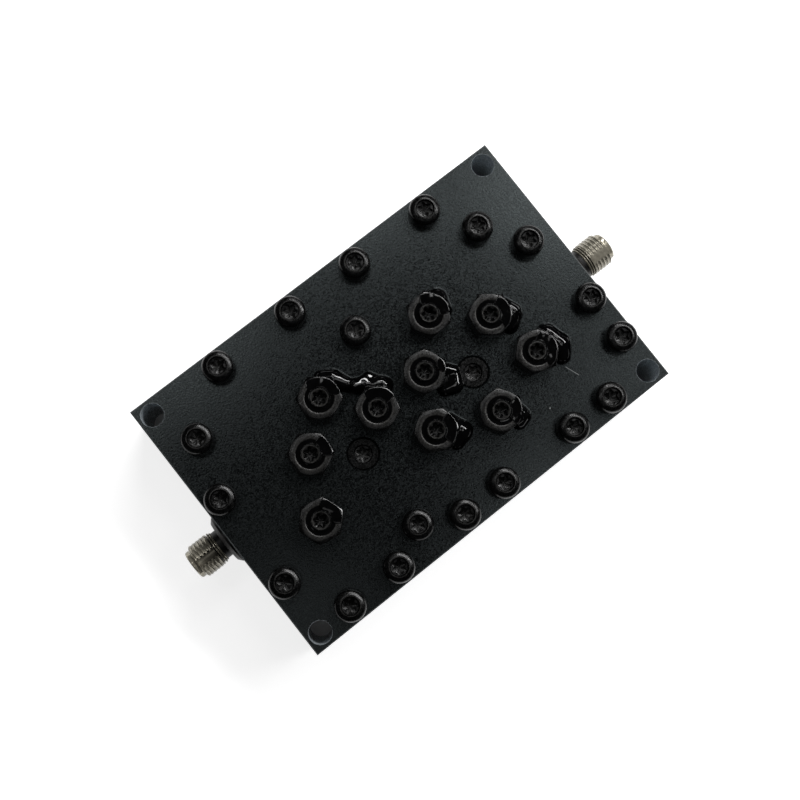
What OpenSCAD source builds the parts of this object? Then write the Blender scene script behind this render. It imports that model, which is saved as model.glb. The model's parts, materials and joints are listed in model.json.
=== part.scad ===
// Five-pole coaxial cavity filter: a milled housing with a screwed lid, five tuned
// resonator posts, screws that tune and couple them, and a threaded jack at each end.
// Millimetres. The origin is the middle of the underside, +X runs along the body to
// the right jack, +Y to the far long edge and +Z out of the lid.

/* [Body] */
// Length of the housing and the lid
body_l = 76.2; // [72:0.1:90]
// Width of the housing and the lid
body_w = 50.8; // [48:0.1:60]
// Height of the housing without the lid
housing_h = 13.5; // [13:0.1:18]
// Thickness of the floor under the cavities
floor_t = 3; // [2.6:0.1:4]
// Thickness of the lid
lid_t = 2.5; // [2:0.1:4]
// Break of the outer edges
edge_break = 0.2; // [0.1:0.05:0.5]

/* [Corner mounting holes] */
// Diameter of the plain through holes
corner_hole_d = 4; // [3.2:0.1:4.4]
// Distance of their centres from both edges
corner_inset = 2.65; // [2.5:0.05:3]

/* [Cavities] */
// Diameter of each round cavity
cavity_d = 18; // [15:0.1:18.4]
// Distance of cavities 2 and 4 from the centre line, towards the far edge
far_row = 7.7; // [7:0.1:8.5]
// Distance of cavities 1, 3 and 5 from the centre line, towards the near edge
near_row = 8.4; // [8:0.1:9]
// Step along the body from cavity 1 to cavity 2
pitch_12 = 12.2; // [12:0.1:13]
// Step from cavity 2 to cavity 3
pitch_23 = 12; // [11.5:0.1:13]
// Step from cavity 3 to cavity 4
pitch_34 = 11.2; // [10.8:0.1:12]
// Step from cavity 4 to cavity 5
pitch_45 = 10.5; // [10.2:0.1:11.5]
// Width of the window between neighbouring cavities
window_w = 7; // [5:0.1:7.5]
// Width of the window from cavity 3 to cavity 5
cross_window_w = 5; // [4.4:0.1:6]
// Height of the sill that each window leaves above the floor
sill_h = 3; // [1:0.1:5]

/* [Resonators] */
// Outer diameter of a post
post_d = 6.4; // [6:0.1:7]
// Height of a post above the floor
post_h = 8; // [7.4:0.1:9]
// Diameter of the hollow that the tuning screw enters
post_bore_d = 4.8; // [4.6:0.1:5]
// Thickness of the web that closes the foot of the hollow
post_web = 2; // [1.2:0.1:2.4]
// Thread diameter of the screw that holds the post down
post_screw_d = 2.4; // [2:0.1:2.6]
// Length of that screw under its head
post_screw_l = 4; // [3.2:0.1:4.6]
// Diameter of its head
post_head_d = 4.4; // [3.8:0.1:4.5]
// Height of its head
post_head_h = 1.6; // [1.2:0.1:2]
// Width across the flats of its socket
post_key = 1.5; // [1.2:0.1:2]

/* [Lid screws] */
// Thread diameter of the screws in the lid
lid_screw_d = 2.9; // [2.5:0.1:3]
// Length of a cap screw under its head
lid_screw_l = 8; // [6:0.5:10]
// Diameter of a cap head
cap_d = 5.4; // [5:0.1:5.6]
// Height of a cap head
cap_h = 3; // [2.6:0.1:3.2]
// Bevel round the top of a cap head
cap_bevel = 0.35; // [0.2:0.05:0.6]
// Clearance hole in the lid
lid_hole_d = 3.2; // [3.1:0.1:3.6]
// Distance of the rim screws from the edge
rim_inset = 3.1; // [3:0.05:3.6]
// Width across the points of the six-lobed sockets in the lid screws
lid_socket_d = 2.8; // [2.4:0.1:3]
// Depth of those sockets
lid_socket_h = 1.5; // [1:0.1:2]
// Diameter of the head of a flush screw
flat_head_d = 5.3; // [5:0.1:5.6]
// Length of a flush screw over its head
flat_screw_l = 8; // [6:0.5:10]
// Diameter of the sink for a flush screw at the face of the lid
sink_d = 5.8; // [5.6:0.1:6.2]
// How far the head of a flush screw lies below the face of the lid
flat_drop = 0.05; // [0:0.05:0.1]

/* [Tuning and coupling screws] */
// Thread diameter of the screws
tuner_d = 3.9; // [3.4:0.1:4.1]
// Length of the screws over the resonators
tuner_l = 10; // [8.5:0.5:11]
// Length of the screws over the windows
coupler_l = 8; // [6:0.5:9]
// How far the screws stand out of their nuts
tuner_proud = 0.3; // [0:0.1:1]
// Width across the points of the socket in each screw
tuner_socket_d = 2.6; // [2:0.1:2.8]
// Depth of that socket
tuner_socket_h = 2; // [1:0.1:3]
// Width across the flats of the lock nuts
nut_w = 7; // [6.6:0.1:7.2]
// Height of the lock nuts
nut_h = 3.2; // [2.2:0.1:3.4]
// Diameter of the countersink in each face of a nut
nut_sink_d = 4.7; // [4.4:0.1:5]

/* [Sealant] */
// Thickness of the film of compound on the nuts
film_t = 0.25; // [0.15:0.05:0.4]
// How far the ring of compound in the countersink of a nut lies below the nut's face
ring_drop = 0.05; // [0.02:0.01:0.08]

/* [Jacks] */
// Distance of the jacks from the centre line, towards the near edge
jack_offset = 0.95; // [0:0.05:1.2]
// Height of the jacks above the underside
jack_z = 9.2; // [9:0.1:9.8]
// Length of a jack outside the wall
jack_l = 7.7; // [7.5:0.1:9]
// Diameter of the round shoulder against the wall
shoulder_d = 9.2; // [8:0.1:9.6]
// Thickness of the shoulder
shoulder_t = 1.15; // [0.9:0.05:1.3]
// Bevel of the shoulder
shoulder_bevel = 0.6; // [0.2:0.05:0.8]
// Diameter of the neck behind the thread
neck_d = 5.3; // [5:0.1:5.5]
// Where the neck ends and the smooth rings start
neck_end = 2.5; // [2.3:0.05:2.6]
// Diameter of the first smooth ring
ring_d = 5.9; // [5.7:0.1:6]
// Width of each smooth ring
ring_w = 0.25; // [0.2:0.05:0.3]
// Width of the groove between the rings and the thread
groove_w = 0.2; // [0.15:0.05:0.3]
// Outer diameter of the coupling thread
jack_thread_d = 6.25; // [6.1:0.01:6.35]
// Width over the two flats that are milled along the thread
jack_flats_w = 5.94; // [5.8:0.02:6]
// Diameter of the plain lip at the tip
lip_d = 5.4; // [5.3:0.1:5.6]
// Length of that lip
lip_l = 0.85; // [0.6:0.05:1]
// Bevel where the thread runs out to the lip
runout = 0.36; // [0.3:0.02:0.42]
// Diameter of the mouth
mouth_d = 4.6; // [4.5:0.05:4.8]
// Depth of the mouth down to the insulator
mouth_h = 1.9; // [1.6:0.1:2.2]
// Diameter of the insulator
insulator_d = 4.1; // [3.8:0.1:4.2]
// Diameter of the threaded shank inside the wall
shank_d = 6.2; // [5.6:0.1:6.3]
// Length of that shank
shank_l = 4.5; // [3:0.1:4.6]
// Turn of the flats on the left jack about its axis
left_flats_turn = 9; // [0:1:90]
// Turn of the flats on the right jack about its axis
right_flats_turn = 18; // [0:1:90]

/* [Inner conductors] */
// Diameter of the contact
contact_d = 1.27; // [1.2:0.01:1.3]
// Diameter of the socket in its outer end
contact_bore_d = 0.94; // [0.9:0.01:0.96]
// Depth of that socket
contact_bore_h = 3; // [2:0.1:4]
// Length of the slits that make the socket spring
slit_l = 2; // [1:0.1:2.4]
// Width of those slits
slit_w = 0.2; // [0.1:0.02:0.25]
// How far the contact stands out of the insulator into the cavity
contact_proud = 1.5; // [1.2:0.1:1.6]
// Diameter of the tap wire
wire_d = 0.8; // [0.6:0.05:0.85]
// How far the tap wire goes into the contact
wire_grip = 1.2; // [0.8:0.1:1.4]
// Radius of the bend in the tap wire
wire_bend = 1.4; // [1.2:0.1:1.5]

/* [Fits] */
// Radial clearance of a screw in its tapped hole
thread_gap = 0.05; // [0.02:0.01:0.08]
// Radial clearance of plain round fits
fit_gap = 0.02; // [0.01:0.01:0.04]
// Depth left free under the end of a blind screw
blind_gap = 0.3; // [0.2:0.1:0.5]

/* [Hidden] */
$fn = 48;
eps = 0.01;
lid_z = housing_h + lid_t;

// Places of the resonators, counted from the left; the third is the middle of the body
res_x = [-pitch_23 - pitch_12, -pitch_23, 0, pitch_34, pitch_34 + pitch_45];
res_y = [-near_row, far_row, -near_row, far_row, -near_row];
res_at = [for (i = [0:4]) [res_x[i], res_y[i]]];

// Pairs of cavities that a window joins, and where the coupling screw of each window stands
window_pairs = [[0, 1], [1, 2], [2, 3], [3, 4], [2, 4]];
coupler_shift = [[-0.75, 1.6], [0.5, 0.8], [-1.05, 0.8], [2.95, 1.6], [-0.25, -4.15]];
coupler_at = [for (i = [0:4])
    (res_at[window_pairs[i][0]] + res_at[window_pairs[i][1]]) / 2 + coupler_shift[i]];

// Turns of the lock nuts, as they were left after tuning
tuner_nut_turn = [19, 54, 3, 33, 14];
coupler_nut_turn = [53, 51, 21, 51, 30];

edge_x = body_l / 2;
edge_y = body_w / 2;
rim_x = edge_x - rim_inset;
rim_y = edge_y - rim_inset;

// Cap screws of the far long edge: the outer two from the ends, the inner two from the middle
far_from_end = 16.1;
far_from_middle = 6.85;
far_x = [-edge_x + far_from_end, -far_from_middle, far_from_middle, edge_x - far_from_end];
// Those of the near long edge: from the left end, by the middle, and from the right end
near_from_left = [9.2, 19.35];
near_by_middle = [-4.75, 3.7];
near_from_right = [11.1, 19.35];
near_x = concat([for (d = near_from_left) -edge_x + d], near_by_middle,
    [for (d = near_from_right) edge_x - d]);
// Those of the short edges: their places across the body
left_y = [4.55, -12.75];
right_y = [-6.95, -15.4];
// Those further in: from the short edge and the far edge
left_inner = [6.15, 10.55];
right_inner = [10.7, 10.9];
right_middle = [5.25, 18.1];
// One past the middle between cavities 2 and 4, and one under cavity 2 from the near edge
between_shift = [0.25, 5.4];
near_inner = 6.6;
inner_screws = [
    [-edge_x + left_inner[0], edge_y - left_inner[1]],
    [edge_x - right_inner[0], edge_y - right_inner[1]],
    [edge_x - right_middle[0], edge_y - right_middle[1]],
    [(res_x[1] + res_x[3]) / 2 + between_shift[0], far_row + between_shift[1]],
    [res_x[1], -edge_y + near_inner]
];
cap_at = concat([for (x = far_x) [x, rim_y]], [for (x = near_x) [x, -rim_y]],
    [for (y = left_y) [-rim_x, y]], [for (y = right_y) [rim_x, y]], inner_screws);
// Turn of each cap screw against the one before it, as they happen to stand
cap_turn_step = 23;

// Flush screws, in the solid metal where three cavities meet
flat_shift = [[0.27, -0.92], [0.53, -1.47]];
flat_at = [for (i = [0, 1])
    (res_at[2 * i] + res_at[2 * i + 1] + res_at[2 * i + 2]) / 3 + flat_shift[i]];
// Depth below the lid of a flush head's cone, whose side runs at 45 degrees
flat_cone_z = (sink_d - flat_head_d) / 2 - fit_gap;

corner_at = [for (x = [-1, 1], y = [-1, 1]) [x * (edge_x - corner_inset), y * (edge_y - corner_inset)]];

// Top of a lock nut: where its crown starts inside the flats, and how steeply it falls
crown_start = 0.05;
crown_slope = 0.7;

// A jack is named by its way: -1 for the left one, by resonator 1, and 1 for the right one
jack_y = -jack_offset;
tap_reach = sqrt(pow(cavity_d / 2, 2) - pow(jack_y + near_row, 2));
function tap_x(way) = way < 0 ? res_x[0] : res_x[4];
// Where the insulator ends, at the wall of the cavity
function insulator_end(way) = way * tap_x(way) + tap_reach;
thread_start = neck_end + 2 * ring_w + groove_w;

// A block with its four top edges, or its four bottom edges, broken
module edge_block(l, w, h, top) {
    b = edge_break;
    lo = top ? 0 : b;
    hi = top ? b : 0;
    intersection() {
        rotate([90, 0, 0])
            linear_extrude(w, center = true)
                polygon([[-l / 2 + lo, 0], [l / 2 - lo, 0], [l / 2, lo], [l / 2, h - hi],
                    [l / 2 - hi, h], [-l / 2 + hi, h], [-l / 2, h - hi], [-l / 2, lo]]);
        rotate([90, 0, 90])
            linear_extrude(l, center = true)
                polygon([[-w / 2 + lo, 0], [w / 2 - lo, 0], [w / 2, lo], [w / 2, h - hi],
                    [w / 2 - hi, h], [-w / 2 + hi, h], [-w / 2, h - hi], [-w / 2, lo]]);
    }
}

// Puts its children at each of a list of places
module at_each(places, z = 0) {
    for (p = places)
        translate([p[0], p[1], z])
            children();
}

// Turns a shape made along +Z from the wall outwards into the place of one jack
module at_jack(way) {
    translate([way * edge_x, jack_y, jack_z])
        rotate([0, way * 90, 0])
            children();
}

// A straight bore down from z = 0, with room at both ends of the cut
module drop_hole(d, depth) {
    translate([0, 0, -depth])
        cylinder(d = d, h = depth + 1);
}

// A six-lobed socket sunk from z = 0, with a bevelled mouth
module lobed_socket(d, depth) {
    core_d = 0.72 * d;
    lobe_d = 0.25 * d;
    mouth_h = 0.15;
    mouth_d = d + 0.08;
    over = 0.1;
    translate([0, 0, -depth])
        linear_extrude(depth + 1) {
            circle(d = core_d);
            for (i = [0:5])
                rotate(i * 60)
                    translate([(d - lobe_d) / 2, 0])
                        circle(d = lobe_d);
        }
    translate([0, 0, -mouth_h])
        cylinder(d1 = mouth_d, d2 = mouth_d + 2 * (mouth_h + over), h = mouth_h + over);
}

module cap_screw() {
    difference() {
        union() {
            rotate_extrude()
                polygon([[0, 0], [cap_d / 2, 0], [cap_d / 2, cap_h - cap_bevel],
                    [cap_d / 2 - cap_bevel, cap_h], [0, cap_h]]);
            translate([0, 0, -lid_screw_l])
                cylinder(d = lid_screw_d, h = lid_screw_l + eps);
        }
        translate([0, 0, cap_h])
            lobed_socket(lid_socket_d, lid_socket_h);
    }
}

module flush_screw() {
    cone_h = (flat_head_d - lid_screw_d) / 2;
    difference() {
        rotate_extrude()
            polygon([[0, -flat_screw_l], [lid_screw_d / 2, -flat_screw_l],
                [lid_screw_d / 2, -flat_cone_z - cone_h], [flat_head_d / 2, -flat_cone_z],
                [flat_head_d / 2, -flat_drop], [0, -flat_drop]]);
        translate([0, 0, -flat_drop])
            lobed_socket(lid_socket_d, lid_socket_h);
    }
}

// A set screw whose top is at z = 0
module set_screw(l) {
    bevel = 0.3;
    difference() {
        rotate_extrude()
            polygon([[0, -l], [tuner_d / 2 - bevel, -l], [tuner_d / 2, -l + bevel],
                [tuner_d / 2, -bevel], [tuner_d / 2 - bevel, 0], [0, 0]]);
        lobed_socket(tuner_socket_d, tuner_socket_h);
    }
}

// The outer form of a lock nut standing on z = 0, its corners bevelled above. A film that
// covers it has the same form, larger by grow
module nut_form(grow) {
    top = nut_h + grow;
    corner_r = (nut_w / 2 + grow) / cos(30);
    out_r = corner_r + eps;
    crown_r = nut_w / 2 - crown_start;
    intersection() {
        cylinder(r = corner_r, h = top, $fn = 6);
        rotate_extrude()
            polygon([[0, 0], [out_r, 0], [out_r, top - (out_r - crown_r) * crown_slope],
                [crown_r, top], [0, top]]);
    }
}

// The nut, its bore sunk at both faces
module lock_nut() {
    bore_r = tuner_d / 2 + thread_gap;
    sink = nut_sink_d / 2 - bore_r;
    difference() {
        nut_form(0);
        rotate_extrude()
            polygon([[0, -1], [bore_r + sink, -1], [bore_r + sink, 0], [bore_r, sink],
                [bore_r, nut_h - sink], [bore_r + sink, nut_h], [bore_r + sink, nut_h + 1],
                [0, nut_h + 1]]);
    }
}

// The air between two cavities, over its sill, centred on the coupling screw
module window_cut(i) {
    a = res_at[window_pairs[i][0]];
    b = res_at[window_pairs[i][1]];
    w = i == 4 ? cross_window_w : window_w;
    share = 0.62;
    reach = norm(b - a) * share;
    translate([coupler_at[i][0], coupler_at[i][1], floor_t + sill_h])
        rotate(atan2(b[1] - a[1], b[0] - a[0]))
            translate([-reach / 2, -w / 2, 0])
                cube([reach, w, housing_h]);
}

module housing() {
    tap_depth = lid_screw_l - lid_t + blind_gap;
    flat_tap_depth = flat_screw_l - lid_t + blind_gap;
    tap_d = lid_screw_d + 2 * thread_gap;
    color([0.09, 0.09, 0.1])
        difference() {
            edge_block(body_l, body_w, housing_h, false);
            at_each(res_at, floor_t)
                cylinder(d = cavity_d, h = housing_h);
            for (i = [0:4])
                window_cut(i);
            at_each(cap_at, housing_h)
                drop_hole(tap_d, tap_depth);
            at_each(flat_at, housing_h)
                drop_hole(tap_d, flat_tap_depth);
            at_each(corner_at, housing_h)
                drop_hole(corner_hole_d, housing_h + 1);
            at_each(res_at, floor_t)
                drop_hole(post_screw_d + 2 * thread_gap, post_screw_l - post_web + blind_gap);
            for (way = [-1, 1])
                at_jack(way) {
                    drop_hole(shank_d + 2 * thread_gap, shank_l);
                    translate([0, 0, way * tap_x(way) - edge_x])
                        cylinder(d = insulator_d + 2 * fit_gap, h = edge_x);
                }
        }
}

module lid() {
    color([0.09, 0.09, 0.1])
        translate([0, 0, housing_h])
            difference() {
                edge_block(body_l, body_w, lid_t, true);
                at_each(cap_at, lid_t)
                    drop_hole(lid_hole_d, lid_t + 1);
                at_each(corner_at, lid_t)
                    drop_hole(corner_hole_d, lid_t + 1);
                at_each(concat(res_at, coupler_at), lid_t)
                    drop_hole(tuner_d + 2 * thread_gap, lid_t + 1);
                at_each(flat_at, lid_t) {
                    drop_hole(lid_hole_d, lid_t + 1);
                    rotate_extrude()
                        polygon([[0, -sink_d / 2], [sink_d / 2, 0], [sink_d / 2, 1], [0, 1]]);
                }
            }
}

module lid_cap_screws() {
    color([0.12, 0.12, 0.13])
        for (i = [0:len(cap_at) - 1])
            translate([cap_at[i][0], cap_at[i][1], lid_z])
                rotate(i * cap_turn_step)
                    cap_screw();
}

module lid_flush_screws() {
    color([0.12, 0.12, 0.13])
        at_each(flat_at, lid_z)
            flush_screw();
}

module tuning_screws() {
    color([0.15, 0.15, 0.16])
        at_each(res_at, lid_z + nut_h + tuner_proud)
            set_screw(tuner_l);
}

module coupling_screws() {
    color([0.15, 0.15, 0.16])
        at_each(coupler_at, lid_z + nut_h + tuner_proud)
            set_screw(coupler_l);
}

module lock_nuts() {
    places = concat(res_at, coupler_at);
    turns = concat(tuner_nut_turn, coupler_nut_turn);
    color([0.17, 0.17, 0.18])
        for (i = [0:len(places) - 1])
            translate([places[i][0], places[i][1], lid_z])
                rotate(turns[i])
                    lock_nut();
}

// A hollow post on the floor; the first and the last have a hole for the tap wire
module resonator(i, tapped) {
    bevel = 0.2;
    color([0.85, 0.85, 0.87])
        difference() {
            translate([res_x[i], res_y[i], floor_t])
                rotate_extrude()
                    polygon([[post_screw_d / 2 + thread_gap, 0], [post_d / 2, 0],
                        [post_d / 2, post_h - bevel], [post_d / 2 - bevel, post_h],
                        [post_bore_d / 2, post_h], [post_bore_d / 2, post_web],
                        [post_screw_d / 2 + thread_gap, post_web]]);
            if (tapped)
                translate([res_x[i], res_y[i], jack_z])
                    rotate([-90, 0, 0])
                        cylinder(d = wire_d + 2 * fit_gap, h = post_d);
        }
}

module resonator_1() { resonator(0, true); }
module resonator_2() { resonator(1, false); }
module resonator_3() { resonator(2, false); }
module resonator_4() { resonator(3, false); }
module resonator_5() { resonator(4, true); }

module resonator_screws() {
    color([0.7, 0.7, 0.72])
        at_each(res_at, floor_t + post_web)
            difference() {
                union() {
                    cylinder(d = post_head_d, h = post_head_h);
                    translate([0, 0, -post_screw_l])
                        cylinder(d = post_screw_d, h = post_screw_l + eps);
                }
                translate([0, 0, post_head_h / 2])
                    cylinder(d = post_key / cos(30), h = post_head_h, $fn = 6);
            }
}

// The shell of a jack, from its shank in the wall to the lip at its tip
module jack_shell(way, turn) {
    shank_r = shank_d / 2;
    shoulder_r = shoulder_d / 2;
    neck_r = neck_d / 2;
    ring_r = ring_d / 2;
    thread_r = jack_thread_d / 2;
    lip_r = lip_d / 2;
    bore_r = insulator_d / 2 + fit_gap;
    thread_end = jack_l - lip_l;
    mid_ring = neck_end + ring_w;
    groove = mid_ring + ring_w;
    bevel_w = 1.2 * shoulder_bevel;
    tip_bevel = 0.2;
    flat_cut = 2;
    color([0.72, 0.71, 0.68])
        at_jack(way)
            rotate(way * turn - 90)
                difference() {
                    rotate_extrude()
                        polygon([
                            [bore_r, -shank_l], [shank_r, -shank_l], [shank_r, 0], [shoulder_r, 0],
                            [shoulder_r, shoulder_t - shoulder_bevel],
                            [shoulder_r - bevel_w, shoulder_t], [neck_r, shoulder_t],
                            [neck_r, neck_end], [ring_r, neck_end], [ring_r, mid_ring],
                            [thread_r, mid_ring], [thread_r, groove], [neck_r, groove],
                            [neck_r, thread_start], [thread_r, thread_start],
                            [thread_r, thread_end - runout], [lip_r, thread_end],
                            [lip_r, jack_l - tip_bevel], [lip_r - tip_bevel, jack_l],
                            [mouth_d / 2, jack_l], [mouth_d / 2, jack_l - mouth_h],
                            [bore_r, jack_l - mouth_h]
                        ]);
                    for (side = [-1, 1])
                        translate([0, side * (jack_flats_w + flat_cut) / 2, thread_start + jack_l / 2])
                            cube([jack_thread_d, flat_cut, jack_l], center = true);
                }
}

module left_jack_shell() { jack_shell(-1, left_flats_turn); }
module right_jack_shell() { jack_shell(1, right_flats_turn); }

module jack_insulator(way) {
    color([0.93, 0.92, 0.88])
        at_jack(way)
            translate([0, 0, -(edge_x - insulator_end(way))])
                difference() {
                    l = edge_x - insulator_end(way) + jack_l - mouth_h;
                    cylinder(d = insulator_d, h = l);
                    translate([0, 0, -1])
                        cylinder(d = contact_d + 2 * fit_gap, h = l + 2);
                }
}

module left_jack_insulator() { jack_insulator(-1); }
module right_jack_insulator() { jack_insulator(1); }

module jack_contact(way) {
    tip = jack_l - mouth_h;
    inner = insulator_end(way) - contact_proud - edge_x;
    color([0.85, 0.68, 0.3])
        at_jack(way)
            difference() {
                translate([0, 0, inner])
                    cylinder(d = contact_d, h = tip - inner);
                translate([0, 0, tip - contact_bore_h])
                    cylinder(d = contact_bore_d, h = contact_bore_h + 1);
                for (a = [0, 90])
                    rotate(a)
                        translate([-contact_d, -slit_w / 2, tip - slit_l])
                            cube([2 * contact_d, slit_w, slit_l + 1]);
                translate([0, 0, inner - 1])
                    cylinder(d = wire_d + 2 * fit_gap, h = 1 + wire_grip + fit_gap);
            }
}

module left_jack_contact() { jack_contact(-1); }
module right_jack_contact() { jack_contact(1); }

// The wire from the contact, round one bend, into the wall of the resonator post
module tap_wire(way) {
    out = insulator_end(way) - contact_proud + wire_grip;
    bend_x = way * tap_x(way) + wire_bend;
    short_of_bore = 0.1;
    post_end = -near_row + post_bore_d / 2 + short_of_bore;
    bend_y = jack_y - wire_bend;
    color([0.8, 0.8, 0.82])
        translate([0, 0, jack_z]) {
            translate([way * bend_x, jack_y, 0])
                rotate([0, way * 90, 0])
                    cylinder(d = wire_d, h = out - bend_x);
            translate([way * bend_x, bend_y, 0])
                rotate([0, 0, way < 0 ? 0 : 90])
                    rotate_extrude(angle = 90)
                        translate([wire_bend, 0])
                            circle(d = wire_d);
            translate([tap_x(way), post_end, 0])
                rotate([-90, 0, 0])
                    cylinder(d = wire_d, h = bend_y - post_end);
        }
}

module left_tap_wire() { tap_wire(-1); }
module right_tap_wire() { tap_wire(1); }

// Cured compound that ran off the nuts onto the lid. Each lobe is [x, y, radius, height]: its
// place from the middle of the first nut and its radius in half widths of a nut, and its
// height in heights of a nut
module run(lobes) {
    half_w = nut_w / 2;
    hull()
        for (b = lobes)
            translate([b[0] * half_w, b[1] * half_w, 0])
                scale([b[2] * half_w, b[2] * half_w, b[3] * nut_h])
                    sphere(r = 1, $fn = 24);
}

// One cured dab: a film over a part of each of its nuts, and its children as runs on the
// lid. Each film is [x, y, radius] of the round patch that it covers, from the middle of its
// nut, in half widths of the nut. The dab lies against the nuts and the lid
module sealant(nuts, turns, films) {
    room = 20;
    half_w = nut_w / 2;
    color([0.02, 0.02, 0.025])
        translate([nuts[0][0], nuts[0][1], lid_z])
            difference() {
                union() {
                    for (i = [0:len(nuts) - 1])
                        translate(nuts[i] - nuts[0])
                            intersection() {
                                rotate(turns[i])
                                    nut_form(film_t);
                                translate([films[i][0] * half_w, films[i][1] * half_w])
                                    cylinder(r = films[i][2] * half_w, h = room);
                            }
                    children();
                }
                translate([-room, -room, -room])
                    cube([2 * room, 2 * room, room]);
                for (i = [0:len(nuts) - 1])
                    translate(nuts[i] - nuts[0]) {
                        rotate(turns[i])
                            nut_form(0);
                        cylinder(d = nut_sink_d, h = room);
                    }
            }
}

// Compound in the countersink between each nut and its screw
module sealant_rings() {
    screw_r = tuner_d / 2;
    bore_r = screw_r + thread_gap;
    sink = nut_sink_d / 2 - bore_r;
    color([0.02, 0.02, 0.025])
        at_each(concat(res_at, coupler_at), lid_z + nut_h)
            rotate_extrude()
                polygon([[screw_r, -sink / 2], [bore_r + sink / 2, -sink / 2],
                    [bore_r + sink - ring_drop, -ring_drop], [screw_r, -ring_drop]]);
}

module sealant_tuning_1() {
    sealant([res_at[0]], [tuner_nut_turn[0]], [[0.89, -0.23, 0.51]]);
}

// The joined dab round the nut of resonator 2 and that of the screw after it
module sealant_tuning_2() {
    join = [1.6, -0.29, 0.57, 0.69];
    sealant([res_at[1], coupler_at[1]], [tuner_nut_turn[1], coupler_nut_turn[1]],
            [[0.63, 0.63, 0.83], [0.63, 0.63, 0.74]]) {
        run([[0.74, 0.74, 0.49, 0.69], [1.11, 0.4, 0.6, 0.75], join]);
        run([join, [2.51, -0.8, 0.57, 0.81], [2.77, -1.31, 0.57, 0.69]]);
    }
}

module sealant_tuning_3() {
    sealant([res_at[2]], [tuner_nut_turn[2]], [[0.94, -0.54, 0.86]])
        run([[0.74, -0.06, 0.6, 0.69], [1, -0.74, 0.66, 0.69], [0.57, -1, 0.49, 0.44]]);
}

module sealant_tuning_4() {
    sealant([res_at[3]], [tuner_nut_turn[3]], [[0.86, 0.37, 0.93]])
        run([[0.57, 0.46, 0.69, 0.94], [0.86, 0.4, 0.67, 0.88], [0.86, -0.17, 0.49, 0.63]]);
}

module sealant_tuning_5() {
    sealant([res_at[4]], [tuner_nut_turn[4]], [[0.94, -0.29, 1.06]])
        run([[1.09, 0.34, 0.63, 0.75], [1.26, -0.4, 0.69, 0.75], [1.03, -0.91, 0.49, 0.56]]);
}

module sealant_coupling_12() {
    sealant([coupler_at[0]], [coupler_nut_turn[0]], [[0.86, -0.11, 0.54]]);
}

// This dab left most of its nut dry, and its run reaches over the edge of a flush screw
module sealant_coupling_34() {
    sealant([coupler_at[2]], [coupler_nut_turn[2]], [[0.91, -0.29, 0.34]])
        run([[0.74, -0.17, 0.4, 0.56], [1.2, -0.77, 0.46, 0.31], [0.83, -1.31, 0.6, 0.38],
            [0.51, -1.2, 0.49, 0.38]]);
}

module sealant_coupling_45() {
    sealant([coupler_at[3]], [coupler_nut_turn[3]], [[0.97, -0.34, 0.83]])
        run([[0.86, 0, 0.57, 0.75], [1.09, -0.51, 0.57, 0.75], [0.63, -0.91, 0.51, 0.56]]);
}

module sealant_coupling_35() {
    sealant([coupler_at[4]], [coupler_nut_turn[4]], [[0.91, -0.69, 0.8]])
        run([[0.69, -0.29, 0.54, 0.75], [0.8, -0.8, 0.51, 0.63], [0.51, -0.97, 0.43, 0.5]]);
}

housing();
lid();
lid_cap_screws();
lid_flush_screws();
tuning_screws();
coupling_screws();
lock_nuts();
resonator_1();
resonator_2();
resonator_3();
resonator_4();
resonator_5();
resonator_screws();
left_jack_shell();
left_jack_insulator();
left_jack_contact();
left_tap_wire();
right_jack_shell();
right_jack_insulator();
right_jack_contact();
right_tap_wire();
sealant_tuning_1();
sealant_tuning_2();
sealant_tuning_3();
sealant_tuning_4();
sealant_tuning_5();
sealant_coupling_12();
sealant_coupling_34();
sealant_coupling_45();
sealant_coupling_35();
sealant_rings();
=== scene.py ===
import json
import math

import bpy
from mathutils import Matrix, Vector


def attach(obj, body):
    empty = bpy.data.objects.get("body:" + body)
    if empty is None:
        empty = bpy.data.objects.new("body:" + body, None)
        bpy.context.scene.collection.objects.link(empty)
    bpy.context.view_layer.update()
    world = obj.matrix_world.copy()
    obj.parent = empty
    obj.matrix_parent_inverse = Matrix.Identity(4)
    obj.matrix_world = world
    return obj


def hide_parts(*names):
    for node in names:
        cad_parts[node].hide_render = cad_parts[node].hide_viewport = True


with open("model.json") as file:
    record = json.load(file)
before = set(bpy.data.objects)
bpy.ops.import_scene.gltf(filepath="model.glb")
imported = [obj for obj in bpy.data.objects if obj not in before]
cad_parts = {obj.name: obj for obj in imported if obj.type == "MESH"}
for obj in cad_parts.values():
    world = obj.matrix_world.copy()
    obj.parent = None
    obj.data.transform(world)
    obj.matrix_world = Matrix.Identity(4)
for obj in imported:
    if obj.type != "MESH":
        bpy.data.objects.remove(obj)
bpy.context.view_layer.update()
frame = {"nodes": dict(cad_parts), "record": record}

mm = 0.001
lidTop = 16  # mm above the underside
endWall = 38.1  # mm from the middle to the walls that the jacks stand on
print("CAD nodes loaded:", len(frame["nodes"]))

# the camera, fitted to the photograph; its place and what it sees between are in mm
cameraView = {
    "place": (-24.03, -10.77, 209.59),
    "right": (0.78373201, -0.6182312, 0.05961803),
    "up": (0.61007327, 0.7842706, 0.11282831),
    "back": (-0.11651065, -0.0520558, 0.99182431),
    "lens": 52.04,
    "sensor": 36,
    "nearest": 10,
    "farthest": 20000,
}

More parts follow.
